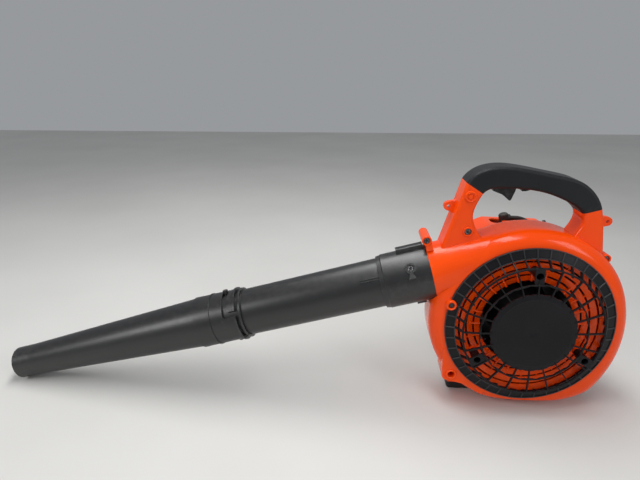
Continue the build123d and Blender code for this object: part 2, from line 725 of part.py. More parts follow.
# ---------------------------------------------------------------- cylinder, piston and rod
CYLINDER_AXIS = Axis(at(0, CRANK_MID, 0), (0, 0, 1))
PLUG_DIR = Vector(-sin(radians(PLUG_LEAN)), 0, cos(radians(PLUG_LEAN)))
PLUG_SEAT = at(0, CRANK_MID, 228)


def plug_face(height):
    """Plane across the spark plug, height up its axis from the roof of the cylinder."""
    return Plane(origin=PLUG_SEAT + PLUG_DIR * height, x_dir=(0, 1, 0), z_dir=PLUG_DIR)


with BuildPart() as cylinder:
    with BuildSketch(level(178)):
        with Locations((0, CRANK_MID)):
            Circle(20)
    extrude(amount=62)
    slab(level(184), 0, CRANK_MID, 52, 46, 6, 6)
    for i in range(8):
        slab(level(194.5 + 6 * i), 0, CRANK_MID, 62, 49, 2, 10)
    # ports: exhaust to the left, inlet to the right
    slab(side(-36), CRANK_MID, 208, 26, 24, 26, 3)
    slab(side(32), CRANK_MID, CARB_Z, 26, 24, -22, 3)
    with BuildSketch(level(177)):
        with Locations((0, CRANK_MID)):
            Circle(BORE_R)
    extrude(amount=50, mode=Mode.SUBTRACT)
    slab(side(-37), CRANK_MID, 208, 14, 8, 24, 2, mode=Mode.SUBTRACT)
    slab(side(33), CRANK_MID, CARB_Z, 14, 8, -22, 2, mode=Mode.SUBTRACT)
    with BuildSketch(plug_face(-4)):
        Circle(5)
    extrude(amount=24, mode=Mode.SUBTRACT)
    with BuildSketch(plug_face(12.5)):
        Circle(10)
    extrude(amount=12, mode=Mode.SUBTRACT)
keep(cylinder, "cylinder")

with BuildPart() as cylinder_screws:
    corners = [(sx * 22, CRANK_MID + sy * 19.5) for sx in (-1, 1) for sy in (-1, 1)]
    with BuildSketch(level(190)):
        with Locations(*corners):
            Circle(3)
    extrude(amount=3)
keep(cylinder_screws, "cylinder_screws")

with BuildPart() as engine_screws:
    rounds(ENGINE_POSTS, 0, HEAD_R, 113, 116)
    rounds(ENGINE_POSTS, 0, THREAD_R, 89, 113)
keep(engine_screws, "engine_screws")

with BuildPart() as piston:
    with BuildSketch(level(PIN_Z - 11)):
        with Locations((0, CRANK_MID)):
            Circle(BORE_R - RUNNING)
    extrude(amount=23)
    with BuildSketch(level(PIN_Z - 12)):
        with Locations((0, CRANK_MID)):
            Circle(BORE_R - 2.5)
    extrude(amount=20, mode=Mode.SUBTRACT)
    with BuildSketch(face(CRANK_MID - 16)):
        with Locations((0, PIN_Z)):
            Circle(6)
    extrude(amount=-9)
    with BuildSketch(face(CRANK_MID + 7)):
        with Locations((0, PIN_Z)):
            Circle(6)
    extrude(amount=-9)
    rounds([(0, PIN_Z)], 0, 4, CRANK_MID - 18, CRANK_MID + 18, Mode.SUBTRACT)
    # ring grooves
    for z in (PIN_Z + 6, PIN_Z + 9):
        with BuildSketch(level(z)):
            with Locations((0, CRANK_MID)):
                Circle(BORE_R + 1)
                Circle(BORE_R - 1.4, mode=Mode.SUBTRACT)
        extrude(amount=1.2, mode=Mode.SUBTRACT)
keep(piston, "piston")

with BuildPart() as piston_pin:
    rounds([(0, PIN_Z)], 0, 4, CRANK_MID - 14, CRANK_MID + 14)
keep(piston_pin, "piston_pin")

with BuildPart() as connecting_rod:
    rounds([(0, AXIS_Z + THROW)], 0, 8.5, CRANK_MID - 5, CRANK_MID + 5)
    rounds([(0, PIN_Z)], 0, 6.5, CRANK_MID - 5, CRANK_MID + 5)
    slab(face(CRANK_MID - 3), 0, AXIS_Z + THROW + 26, 7, 46, -6)
    holes([(0, AXIS_Z + THROW)], 5 + RUNNING, CRANK_MID - 5, CRANK_MID + 5)
    holes([(0, PIN_Z)], 4, CRANK_MID - 5, CRANK_MID + 5)
    # the crank's pin, between its two webs
    rounds([(0, AXIS_Z + THROW)], 0, 5.0, 131.2, 144.8)
keep(connecting_rod, "connecting_rod")

# ---------------------------------------------------------------- ignition
with BuildPart() as spark_plug:
    for start, end, radius in ((0, 12.5, 4.95), (20.5, 34, 4.6), (34, 42, 3.0)):
        with BuildSketch(plug_face(start)):
            Circle(radius)
        extrude(amount=end - start)
    with BuildSketch(plug_face(12.5)):
        RegularPolygon(9, 6)
    extrude(amount=8)
keep(spark_plug, "spark_plug")

with BuildPart() as plug_cap:
    with BuildSketch(plug_face(24)):
        Circle(9)
    extrude(amount=28, taper=3)
    fillet(plug_cap.faces().sort_by(Axis.Z)[-1].edges(), 4)
    # side outlet for the lead
    with BuildSketch(Plane(origin=at(-12, 138, 270.5), z_dir=(1, 0, 0))):
        Circle(6)
    extrude(amount=10)
    with BuildSketch(plug_face(23)):
        Circle(4.7)
    extrude(amount=19, mode=Mode.SUBTRACT)
    with BuildSketch(Plane(origin=at(-3, 138, 270.5), z_dir=(1, 0, 0))):
        Circle(LEAD_R)
    extrude(amount=3, mode=Mode.SUBTRACT)
keep(plug_cap, "plug_cap")

COIL_DIR = Vector(cos(radians(COIL_TURN)), 0, sin(radians(COIL_TURN)))
COIL_PLANE = Plane(origin=at(0, 92, AXIS_Z), x_dir=COIL_DIR, z_dir=(0, -1, 0))

with BuildPart() as ignition_coil:
    with BuildSketch(COIL_PLANE):
        with Locations((56.5, 0)):
            Rectangle(20, 44)
        with Locations((50.5, 11), (50.5, -11)):
            Rectangle(13, 12, mode=Mode.SUBTRACT)
    extrude(amount=-9)
    with BuildSketch(COIL_PLANE.offset(2)):
        with Locations((60, 0)):
            RectangleRounded(16, 26, 3)
    extrude(amount=-13.5)
    with BuildSketch(level(194)):
        with Locations((44, 99.5)):
            Circle(5)
    extrude(amount=9)
keep(ignition_coil, "ignition_coil")


# ---------------------------------------------------------------- engine cover
def cover_block(inset):
    """Hood over the cylinder, moved in by inset; open below."""
    with BuildPart() as hood:
        with BuildSketch(face(COVER_FRONT + inset)) as end:
            with BuildLine():
                Polyline(
                    (COVER_LEFT + inset, 196 - inset), (COVER_LEFT + inset, COVER_TOP - 12 - inset),
                    (-40, COVER_TOP - inset), (COVER_RIGHT - inset, COVER_TOP - 2 - inset),
                    (COVER_RIGHT - inset, 196 - inset), close=True,
                )
            make_face()
            fillet(end.vertices().sort_by(Axis.Y)[2:], 14 - inset)
        extrude(amount=COVER_FRONT - COVER_BACK + 2 * inset)
        ends = hood.faces().filter_by(Axis.Y).edges()
        fillet(ends.filter_by(lambda e: e.center().Z > 197), 7 - inset)
    return hood.part


cover_outer = cover_block(0)
cover_inner = cover_block(2.5)

with BuildPart() as engine_cover:
    add(cover_outer)
    # raised hood beside the plug cap
    with BuildSketch(level(COVER_TOP - 8)):
        with Locations((4, 116)):
            RectangleRounded(52, 26, 9)
    extrude(amount=13, taper=14)
    add(cover_inner, mode=Mode.SUBTRACT)
    rounds([(-45, 235), (45, 235)], 0, 5, CASE_DEPTH, COVER_FRONT + 2)
    slab(level(COVER_TOP - 14), 2, 143, 68, 28, 30, 9, mode=Mode.SUBTRACT)
    # open sides for the muffler and the carburettor, slots in the back, and a way to the primer
    slab(side(COVER_LEFT - 2), CRANK_MID, 215, 64, 66, 8, 4, mode=Mode.SUBTRACT)
    slab(side(COVER_RIGHT - 6), CRANK_MID, 217, 62, 62, 8, 4, mode=Mode.SUBTRACT)
    with BuildSketch(face(COVER_BACK + 2)):
        with Locations((-3, 228)):
            with GridLocations(13, 0, 7, 1):
                SlotOverall(34, 6, rotation=90)
        with Locations(PRIMER_AT):
            Circle(14)
    extrude(amount=8, mode=Mode.SUBTRACT)
keep(engine_cover, "engine_cover")

# ---------------------------------------------------------------- muffler
with BuildPart() as muffler:
    slab(face(112), -60, 212, 46, 48, -52, 9)
    fillet(muffler.faces().filter_by(Axis.Y).edges(), 5)
    slab(face(113.5), -60, 212, 43, 45, -49, 7.5, mode=Mode.SUBTRACT)
    slab(side(-38), CRANK_MID, 208, 26, 24, 2, 3)
    slab(side(-40), CRANK_MID, 208, 14, 8, 6, 2, mode=Mode.SUBTRACT)
    slab(side(-90), CRANK_MID, 196, 20, 8, 8, 3)
    slab(side(-91), CRANK_MID, 196, 17, 5, 12, 2, mode=Mode.SUBTRACT)
keep(muffler, "muffler")

with BuildPart() as muffler_guard:
    slab(face(107), -66, 212, 66, 66, -62, 12)
    slab(face(109), -64, 212, 66, 62, -58, 10, mode=Mode.SUBTRACT)
    slab(side(-45), CRANK_MID, 212, 90, 90, 20, mode=Mode.SUBTRACT)
    with BuildSketch(side(-102)):
        with Locations((CRANK_MID, 218)):
            with GridLocations(0, 9, 1, 5):
                SlotOverall(46, 4.5)
        with Locations((CRANK_MID, 194)):
            SlotOverall(30, 8)
    extrude(amount=8, mode=Mode.SUBTRACT)
    # foot on the crankcase
    slab(level(177), -46, CRANK_MID, 40, 20, 4)
keep(muffler_guard, "muffler_guard")

# ---------------------------------------------------------------- carburettor
with BuildPart() as carb_insulator:
    slab(side(32), CRANK_MID, CARB_Z, 28, 28, 7, 4)
    with BuildSketch(side(32)):
        with Locations((CRANK_MID, CARB_Z)):
            Circle(7)
    extrude(amount=7, mode=Mode.SUBTRACT)
keep(carb_insulator, "carb_insulator")

with BuildPart() as carburettor:
    slab(side(39), CRANK_MID, CARB_Z, 30, 30, 30, 3)
    rounds([PRIMER_AT], 0, 13, 152, 158)
    slab(level(179), 54, CRANK_MID, 24, 24, 7, 3)
    # bracket that holds the end of the throttle cable
    slab(level(211), 66, 122.5, 6, 7, 13)
    add(cable_way, mode=Mode.SUBTRACT)
    with BuildSketch(side(38)):
        with Locations((CRANK_MID, CARB_Z)):
            Circle(8.2)
    extrude(amount=32, mode=Mode.SUBTRACT)
    with BuildSketch(level(182)):
        with Locations((THROTTLE_X, CRANK_MID)):
            Circle(2.5 + RUNNING)
    extrude(amount=40, mode=Mode.SUBTRACT)
    holes([PRIMER_AT], PRIMER_R + RUNNING, 153, 160)
keep(carburettor, "carburettor")

with BuildPart() as throttle_shaft:
    with BuildSketch(level(183)):
        with Locations((THROTTLE_X, CRANK_MID)):
            Circle(2.5)
    extrude(amount=40)
    with BuildSketch(side(THROTTLE_X - 0.5)):
        with Locations((CRANK_MID, CARB_Z)):
            Circle(8.0)
    extrude(amount=1)
    # lever, pointing back while the throttle is shut
    with BuildSketch(level(218)):
        with Locations((THROTTLE_X, CRANK_MID)):
            Circle(4.5)
        with BuildLine():
            Polyline((50, 141), (59, 150.5), (62.5, 147), (54, 136), close=True)
        make_face()
    extrude(amount=2)
keep(throttle_shaft, "throttle_shaft")

with BuildPart() as primer_bulb:
    with BuildSketch(Plane(origin=at(PRIMER_AT[0], 0, PRIMER_AT[1]), x_dir=(1, 0, 0), z_dir=(0, 0, 1))):
        with BuildLine():
            Polyline((PRIMER_R, 158), (PRIMER_R, 157), (0, 157), (0, 166.5))
            Spline((0, 166.5), (6.6, 164.2), (PRIMER_R, 158), tangents=((1, 0), (0, -1)))
        make_face()
    revolve(axis=Axis(at(PRIMER_AT[0], 0, PRIMER_AT[1]), (0, 1, 0)))
keep(primer_bulb, "primer_bulb")

# ---------------------------------------------------------------- air filter
with BuildPart() as filter_base:
    slab(side(BASE_X), CRANK_MID, FILTER_Z, 62, 54, 4, 10)
    slab(side(69), CRANK_MID, CARB_Z, 28, 26, 4, 4)
    with BuildSketch(side(BASE_X)):
        with Locations((CRANK_MID, FILTER_Z)):
            Circle(5.5)
    extrude(amount=10)
    with BuildSketch(side(68)):
        with Locations((CRANK_MID, CARB_Z)):
            Circle(8.2)
    extrude(amount=10, mode=Mode.SUBTRACT)
    with BuildSketch(side(71)):
        with Locations((CRANK_MID, FILTER_Z), CHOKE_AT):
            Circle(2.5 + RUNNING)
    extrude(amount=14, mode=Mode.SUBTRACT)
keep(filter_base, "filter_base")

with BuildPart() as choke_lever:
    with BuildSketch(side(68.5)):
        with Locations(CHOKE_AT):
            Circle(5)
        with BuildLine():
            Polyline((150, 239), (156, 232), (182, 247), (186, 254), (180, 256), close=True)
        make_face()
    extrude(amount=3)
    with BuildSketch(side(70)):
        with Locations(CHOKE_AT):
            Circle(2.5)
    extrude(amount=6)
keep(choke_lever, "choke_lever")

with BuildPart() as filter_element:
    slab(side(BASE_X + 4), CRANK_MID, FILTER_Z, 48, 42, 17, 7)
    with BuildSketch(side(BASE_X + 3)):
        with Locations((CRANK_MID, FILTER_Z)):
            Circle(7)
    extrude(amount=20, mode=Mode.SUBTRACT)
keep(filter_element, "filter_element")

with BuildPart() as filter_cover:
    slab(side(BASE_X + 1), CRANK_MID, FILTER_Z, 68, 60, 34, 13)
    fillet(filter_cover.faces().sort_by(Axis.X)[-1].edges(), 8)
    with BuildPart(mode=Mode.SUBTRACT) as filter_space:
        slab(side(BASE_X), CRANK_MID, FILTER_Z, 62.4, 54.4, 32, 10.2)
        fillet(filter_space.faces().sort_by(Axis.X)[-1].edges(), 5)
    with BuildSketch(side(BASE_X)):
        with Locations((CRANK_MID, FILTER_Z)):
            Circle(3)
    extrude(amount=40, mode=Mode.SUBTRACT)
    # intake slots in the back edge
    with BuildSketch(face(176)):
        with Locations((BASE_X + 18, FILTER_Z)):
            with GridLocations(0, 8, 1, 4):
                SlotOverall(18, 3)
    extrude(amount=10, mode=Mode.SUBTRACT)
keep(filter_cover, "filter_cover")

with BuildPart() as cover_knob:
    with BuildSketch(side(BASE_X + 35)):
        with Locations((CRANK_MID, FILTER_Z)):
            Circle(10)
            with PolarLocations(11.5, 8):
                Circle(2.2, mode=Mode.SUBTRACT)
    extrude(amount=9)
    with BuildSketch(side(BASE_X + 1)):
        with Locations((CRANK_MID, FILTER_Z)):
            Circle(2.5)
    extrude(amount=35)
keep(cover_knob, "cover_knob")

# ---------------------------------------------------------------- fuel tank
with BuildPart() as tank_space:
    slab(level(25), 2, 133, 166, 80, TANK_TOP - 28, 13)
    fillet(tank_space.faces().sort_by(Axis.Z)[-1].edges(), 5)

with BuildPart() as fuel_tank:
    slab(level(22), 2, 133, 172, TANK_BACK - TANK_FRONT, TANK_TOP - 22, 16)
    fillet(fuel_tank.faces().sort_by(Axis.Z)[-1].edges(), 8)
    rounds([CAP_AT], 0, 17, TANK_BACK - 2, TANK_BACK + 8)
    # lugs on the fan case and seats of the rear feet
    rounds([(-60, 60), (64, 60)], 0, 6, CASE_DEPTH, TANK_FRONT + 2)
    for x in (-60, 64):
        slab(level(20), x, 150, 30, 24, 4, 4)
    add(tank_space, mode=Mode.SUBTRACT)
    holes([CAP_AT], 13.5, TANK_BACK - 4, TANK_BACK + 9)
    with BuildSketch(level(TANK_TOP - 5)):
        with Locations(*FUEL_OUTLETS):
            Circle(3)
    extrude(amount=6, mode=Mode.SUBTRACT)
keep(fuel_tank, "fuel_tank")

with BuildPart() as fuel_cap:
    with BuildSketch(face(TANK_BACK + 18)):
        with Locations(CAP_AT):
            Circle(21)
            with PolarLocations(22.5, 18):
                Circle(1.8, mode=Mode.SUBTRACT)
    extrude(amount=14)
    rounds([CAP_AT], 0, 17.4, TANK_BACK + 3, TANK_BACK + 8.05, Mode.SUBTRACT)
    rounds([CAP_AT], 0, 13.5 - RUNNING, TANK_BACK + 1, TANK_BACK + 9)
keep(fuel_cap, "fuel_cap")

with BuildPart() as fuel_lines:
    with BuildSketch(level(TANK_TOP - 8)):
        with Locations(*FUEL_OUTLETS):
            Circle(3)
    extrude(amount=179 - TANK_TOP + 8)
keep(fuel_lines, "fuel_lines")

# ---------------------------------------------------------------- recoil starter
with BuildPart() as starter_case:
    turned((0, STARTER_R, STARTER_BACK - 3, STARTER_BACK), (STARTER_R - 3, STARTER_R, STARTER_FRONT, STARTER_BACK))
    rounds(STARTER_POSTS, 0, 7.6, STARTER_FRONT, STARTER_BACK - 1)
    turned((0, 6, 184.5, STARTER_BACK - 1))
    slab(level(AXIS_Z + STARTER_R - 8), REEL_R, ROPE_DEPTH, 16, 12, 12, 3)
    # cooling slots round the middle, and the rope's eye in the rim
    with BuildSketch(fan_face(STARTER_BACK - 4)):
        with PolarLocations(34, 12):
            SlotOverall(11, 4)
        with PolarLocations(48, 4):
            SlotOverall(11, 4)
    extrude(amount=-6, mode=Mode.SUBTRACT)
    holes(STARTER_POSTS, THREAD_R, STARTER_FRONT - 1, STARTER_BACK + 1)
    holes(STARTER_POSTS, HEAD_R + GAP, STARTER_BACK - 4, STARTER_BACK + 1)
    with BuildSketch(level(AXIS_Z + 30)):
        with Locations((REEL_R, ROPE_DEPTH)):
            Circle(ROPE_R + 1.2)
    extrude(amount=50, mode=Mode.SUBTRACT)
keep(starter_case, "starter_case")

with BuildPart() as starter_screws:
    rounds(STARTER_POSTS, 0, HEAD_R, STARTER_BACK - 4, STARTER_BACK - 1)
    rounds(STARTER_POSTS, 0, THREAD_R, 168, STARTER_BACK - 4)
keep(starter_screws, "starter_screws")

with BuildPart() as starter_reel:
    turned((6 + RUNNING, 28, 189, 191), (6 + RUNNING, 21.5, 189, 197), (6 + RUNNING, 28, 195, 197))
    turned((6 + RUNNING, 10, 186, 190))
keep(starter_reel, "starter_reel")

with BuildPart() as starter_pawl:
    with BuildSketch(fan_face(185)):
        with BuildLine():
            Polyline((12, -4), (15.5, -3), (17.5, 3), (14, 5), (11, 2), close=True)
        make_face()
    extrude(amount=-2)
    rounds([(13.5, AXIS_Z)], 0, 1.5, 185, 189)
keep(starter_pawl, "starter_pawl")

with BuildPart() as starter_spring:
    with BuildSketch(fan_face(199)):
        with BuildLine() as spiral:
            for i in range(12):
                CenterArc((SPIRAL * (i % 2 * 2 - 1), 0), 7.6 + 2 * SPIRAL * i, 180 * (i % 2), 180)
        trace(line_width=0.7)
    extrude(amount=-7)
keep(starter_spring, "starter_spring")

with BuildPart() as starter_rope:
    with BuildSketch(level(AXIS_Z)):
        with Locations((REEL_R, ROPE_DEPTH)):
            Circle(ROPE_R)
    extrude(amount=STARTER_R + 16)
keep(starter_rope, "starter_rope")

with BuildPart() as starter_handle:
    slab(level(AXIS_Z + STARTER_R + 4), REEL_R, ROPE_DEPTH, 56, 14, 18, 6)
    fillet(starter_handle.faces().filter_by(Axis.Z).edges(), 4)
    with BuildSketch(level(AXIS_Z + STARTER_R)):
        with Locations((REEL_R, ROPE_DEPTH)):
            Circle(ROPE_R)
    extrude(amount=16, mode=Mode.SUBTRACT)
keep(starter_handle, "starter_handle")

# ---------------------------------------------------------------- stop switch and feet
with BuildPart() as stop_switch:
    slab(face(SWITCH_DEPTH + RUNNING), SWITCH_AT[0], SWITCH_AT[1] + 2.5, 4.9, 8, -6)
    slab(face(HANDLE_BACK + RUNNING), SWITCH_AT[0], SWITCH_AT[1] + 2.5, 9, 10, -4, 1.5)
keep(stop_switch, "stop_switch")

with BuildPart() as rubber_feet:
    slab(level(0), -78, 69, 38, 30, BASE_Z, 6)
    slab(level(0), 107, 69, 38, 30, BASE_Z, 6)
    slab(level(0), -60, 150, 34, 30, 20, 6)
    slab(level(0), 64, 150, 34, 30, 20, 6)
    chamfer(rubber_feet.faces().filter_by(Axis.Z).group_by(Axis.Z)[0].edges(), 1.5)
keep(rubber_feet, "rubber_feet")


# ---------------------------------------------------------------- joint sleeve, blowing tube and nozzle
def round_tube(turn):
    """Direction out of the tube's axis, turned from the front over the top."""
    return tube_face(0).x_dir.rotate(Axis((0, 0, 0), TUBE_DIR), turn)


def screw_face(radius):
    """Plane across the sleeve's screw, this far from the tube's axis: x back towards the case."""
    out = round_tube(SCREW_TURN)
    return Plane(origin=FLANGE + TUBE_DIR * SCREW_AT + out * radius, x_dir=TUBE_DIR * -1, z_dir=out)


def tube_turned(*outline, mode=Mode.ADD):
    """Turned body on the tube's axis, from (s, radius) corners."""
    with BuildSketch(TUBE_PROFILE) as profile:
        with BuildLine():
            Polyline(*outline, close=True)
        make_face()
    revolve(profile.sketch, axis=TUBE_AXIS, mode=mode)


with BuildPart() as joint_sleeve:
    tube_turned(
        (-8, 34.5), (-8, 38.7), (0, 38.7), (0, SLEEVE_R), (SLEEVE_LENGTH - 7, SLEEVE_R),
        (SLEEVE_LENGTH - 6, SLEEVE_R - 1), (SLEEVE_LENGTH, SLEEVE_R - 1.6),
        (SLEEVE_LENGTH, TUBE_R), (TUBE_START, TUBE_R), (TUBE_START, 34.5),
    )
    # keys on the top and the bottom, and the screw's seat with its mark at the front
    slab(tube_face(3), 0, SLEEVE_R + 1.5, 14, 9, 40, 2)
    slab(tube_face(15), 0, -SLEEVE_R - 0.5, 14, 9, 14, 2)
    with BuildSketch(screw_face(SLEEVE_R - 3)):
        Circle(8)
        with Locations((0, -12)):
            Triangle(a=12, b=14, c=14)
    extrude(amount=4)
    for start, radius in ((SLEEVE_R - 2.2, 4.6), (30, 2.2)):
        with BuildSketch(screw_face(start)):
            Circle(radius)
        extrude(amount=16, mode=Mode.SUBTRACT)
keep(joint_sleeve, "joint_sleeve")

with BuildPart() as sleeve_screw:
    for start, end, radius in ((33, SLEEVE_R - 2.2, 2.2), (SLEEVE_R - 2.2, SLEEVE_R, HEAD_R)):
        with BuildSketch(screw_face(start)):
            Circle(radius)
        extrude(amount=end - start)
    with BuildSketch(screw_face(SLEEVE_R)):
        Rectangle(4.2, 1.1)
        Rectangle(1.1, 4.2)
    extrude(amount=-1.4, mode=Mode.SUBTRACT)
keep(sleeve_screw, "sleeve_screw")

with BuildPart() as blower_tube:
    tube_turned(
        (TUBE_START, TUBE_R - TUBE_WALL), (TUBE_START, TUBE_R), (SLEEVE_LENGTH + 4, TUBE_R),
        (291, TUBE_END_R), (291, TUBE_END_R + 3.4), (294.5, TUBE_END_R + 3.4), (294.5, TUBE_END_R),
        (TUBE_END, TUBE_END_R), (TUBE_END, TUBE_END_R - TUBE_WALL),
    )
    # two short ribs that line the tube up with the sleeve
    for turn in (29.5, 34.5):
        with BuildSketch(Plane(origin=FLANGE + round_tube(turn) * 36, x_dir=TUBE_DIR, z_dir=round_tube(turn))):
            with Locations((SLEEVE_LENGTH + 14.5, 0)):
                Rectangle(27, 1.2)
        extrude(amount=2.1)
    # bayonet knobs above and below
    for way in (1, -1):
        up = round_tube(90) * way
        with BuildSketch(Plane(origin=FLANGE + TUBE_DIR * KNOB_AT + up * (TUBE_END_R - 1), z_dir=up)):
            Circle(KNOB_R)
        extrude(amount=8.7)
    with BuildSketch(screw_face(30)):
        Circle(2.2)
    extrude(amount=16, mode=Mode.SUBTRACT)
keep(blower_tube, "blower_tube")

SLOT_R = KNOB_R + GAP
NOZZLE_BORE = TUBE_END_R + 0.5

with BuildPart() as nozzle:
    tube_turned(
        (COLLAR_START, NOZZLE_BORE), (COLLAR_START, 41.9), (COLLAR_START + 3.5, 41.9), (COLLAR_START + 3.5, 39.7),
        (341, 40.0), (341, 41.0), (343.5, 41.0), (343.5, 40.0), (COLLAR_END - 3, 40.4), (COLLAR_END, 40.4),
        (COLLAR_END, 39.0), (NOZZLE_END - 30, TIP_R), (NOZZLE_END, TIP_R), (NOZZLE_END, TIP_R - 2.2),
        (NOZZLE_END - 30, TIP_R - 2.2), (COLLAR_END + 1, 36.4), (COLLAR_END + 1, NOZZLE_BORE),
        (365, NOZZLE_BORE), (365, TUBE_END_R + RUNNING), (350, TUBE_END_R + RUNNING), (350, NOZZLE_BORE),
    )
    # bayonet slots: in from the collar's edge, then round to the knobs
    for knob in (90, 270):
        entry = knob - TWIST
        with BuildSketch(tube_face(KNOB_AT - SLOT_R)):
            with BuildLine():
                CenterArc((0, 0), 50, entry, TWIST)
                CenterArc((0, 0), 30, entry, TWIST)
                Line(Vector(50, 0).rotate(Axis.Z, entry), Vector(30, 0).rotate(Axis.Z, entry))
                Line(Vector(50, 0).rotate(Axis.Z, knob), Vector(30, 0).rotate(Axis.Z, knob))
            make_face()
        extrude(amount=2 * SLOT_R, mode=Mode.SUBTRACT)
        for turn, start in ((entry, COLLAR_START - 1), (knob, KNOB_AT)):
            out = round_tube(turn)
            with BuildSketch(Plane(origin=FLANGE + out * 30, x_dir=TUBE_DIR, z_dir=out)):
                with Locations((KNOB_AT, 0)):
                    Circle(SLOT_R)
                if start < KNOB_AT:
                    with Locations(((start + KNOB_AT) / 2, 0)):
                        Rectangle(KNOB_AT - start, 2 * SLOT_R)
            extrude(amount=20, mode=Mode.SUBTRACT)
keep(nozzle, "nozzle")
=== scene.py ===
import bpy
import json
from math import cos, pi, radians, sin
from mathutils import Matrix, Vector


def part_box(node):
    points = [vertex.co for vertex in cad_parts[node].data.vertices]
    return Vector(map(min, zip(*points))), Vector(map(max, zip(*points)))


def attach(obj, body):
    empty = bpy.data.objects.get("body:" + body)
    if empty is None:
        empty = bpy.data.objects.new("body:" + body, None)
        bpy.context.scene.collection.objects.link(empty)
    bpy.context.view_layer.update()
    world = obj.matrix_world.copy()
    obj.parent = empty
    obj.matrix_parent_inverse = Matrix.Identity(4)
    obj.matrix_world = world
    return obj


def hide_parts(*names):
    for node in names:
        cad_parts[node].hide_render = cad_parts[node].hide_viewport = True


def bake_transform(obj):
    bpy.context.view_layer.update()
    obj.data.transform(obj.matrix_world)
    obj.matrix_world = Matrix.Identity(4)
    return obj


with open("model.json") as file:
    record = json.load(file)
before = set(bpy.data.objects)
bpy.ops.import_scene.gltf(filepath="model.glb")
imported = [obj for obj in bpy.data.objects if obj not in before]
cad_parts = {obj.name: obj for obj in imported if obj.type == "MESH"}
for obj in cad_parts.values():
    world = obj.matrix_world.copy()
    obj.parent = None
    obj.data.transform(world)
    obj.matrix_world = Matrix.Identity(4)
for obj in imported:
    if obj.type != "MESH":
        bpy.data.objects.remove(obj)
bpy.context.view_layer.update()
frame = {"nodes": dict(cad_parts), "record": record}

# ---------------------------------------------------------------- places, from the CAD boxes
guard_lo, guard_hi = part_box("intake_guard")
FAN_X = (guard_lo[0] + guard_hi[0]) / 2
FAN_Z = (guard_lo[2] + guard_hi[2]) / 2
SPLIT_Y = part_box("fan_case_front")[1][1]
FRONT_Y = SPLIT_Y - 0.042     # the parting plane is halfway through the 84 mm case
AXIS_Z = 145.6               # height of the fan axis, in millimetres


def at(x, depth, z):
    """Point in metres from the fan axis, the case's front face and the ground, all given in millimetres."""
    return Vector((FAN_X + x / 1000, FRONT_Y + depth / 1000, z / 1000))


# ---------------------------------------------------------------- materials
EDGE_SOFTNESS = 0.0006
DUST = (0.42, 0.38, 0.33, 1)


def node(tree, kind, links=(), **values):
    """A shader node with its properties and inputs set; links are (input, socket) pairs."""
    made = tree.nodes.new(kind)
    for key, value in values.items():
        if hasattr(made, key):
            setattr(made, key, value)
        else:
            made.inputs[key.replace("_", " ")].default_value = value
    for name, socket in links:
        tree.links.new(socket, made.inputs[name])
    return made


def ramp(tree, factor, low, high, colours=((0, 0, 0, 1), (1, 1, 1, 1))):
    """Colour ramp between two positions."""
    made = node(tree, "ShaderNodeValToRGB", [("Fac", factor)])
    made.color_ramp.elements[0].position = low
    made.color_ramp.elements[1].position = high
    made.color_ramp.elements[0].color = colours[0]
    made.color_ramp.elements[1].color = colours[1]
    return made.outputs["Color"]


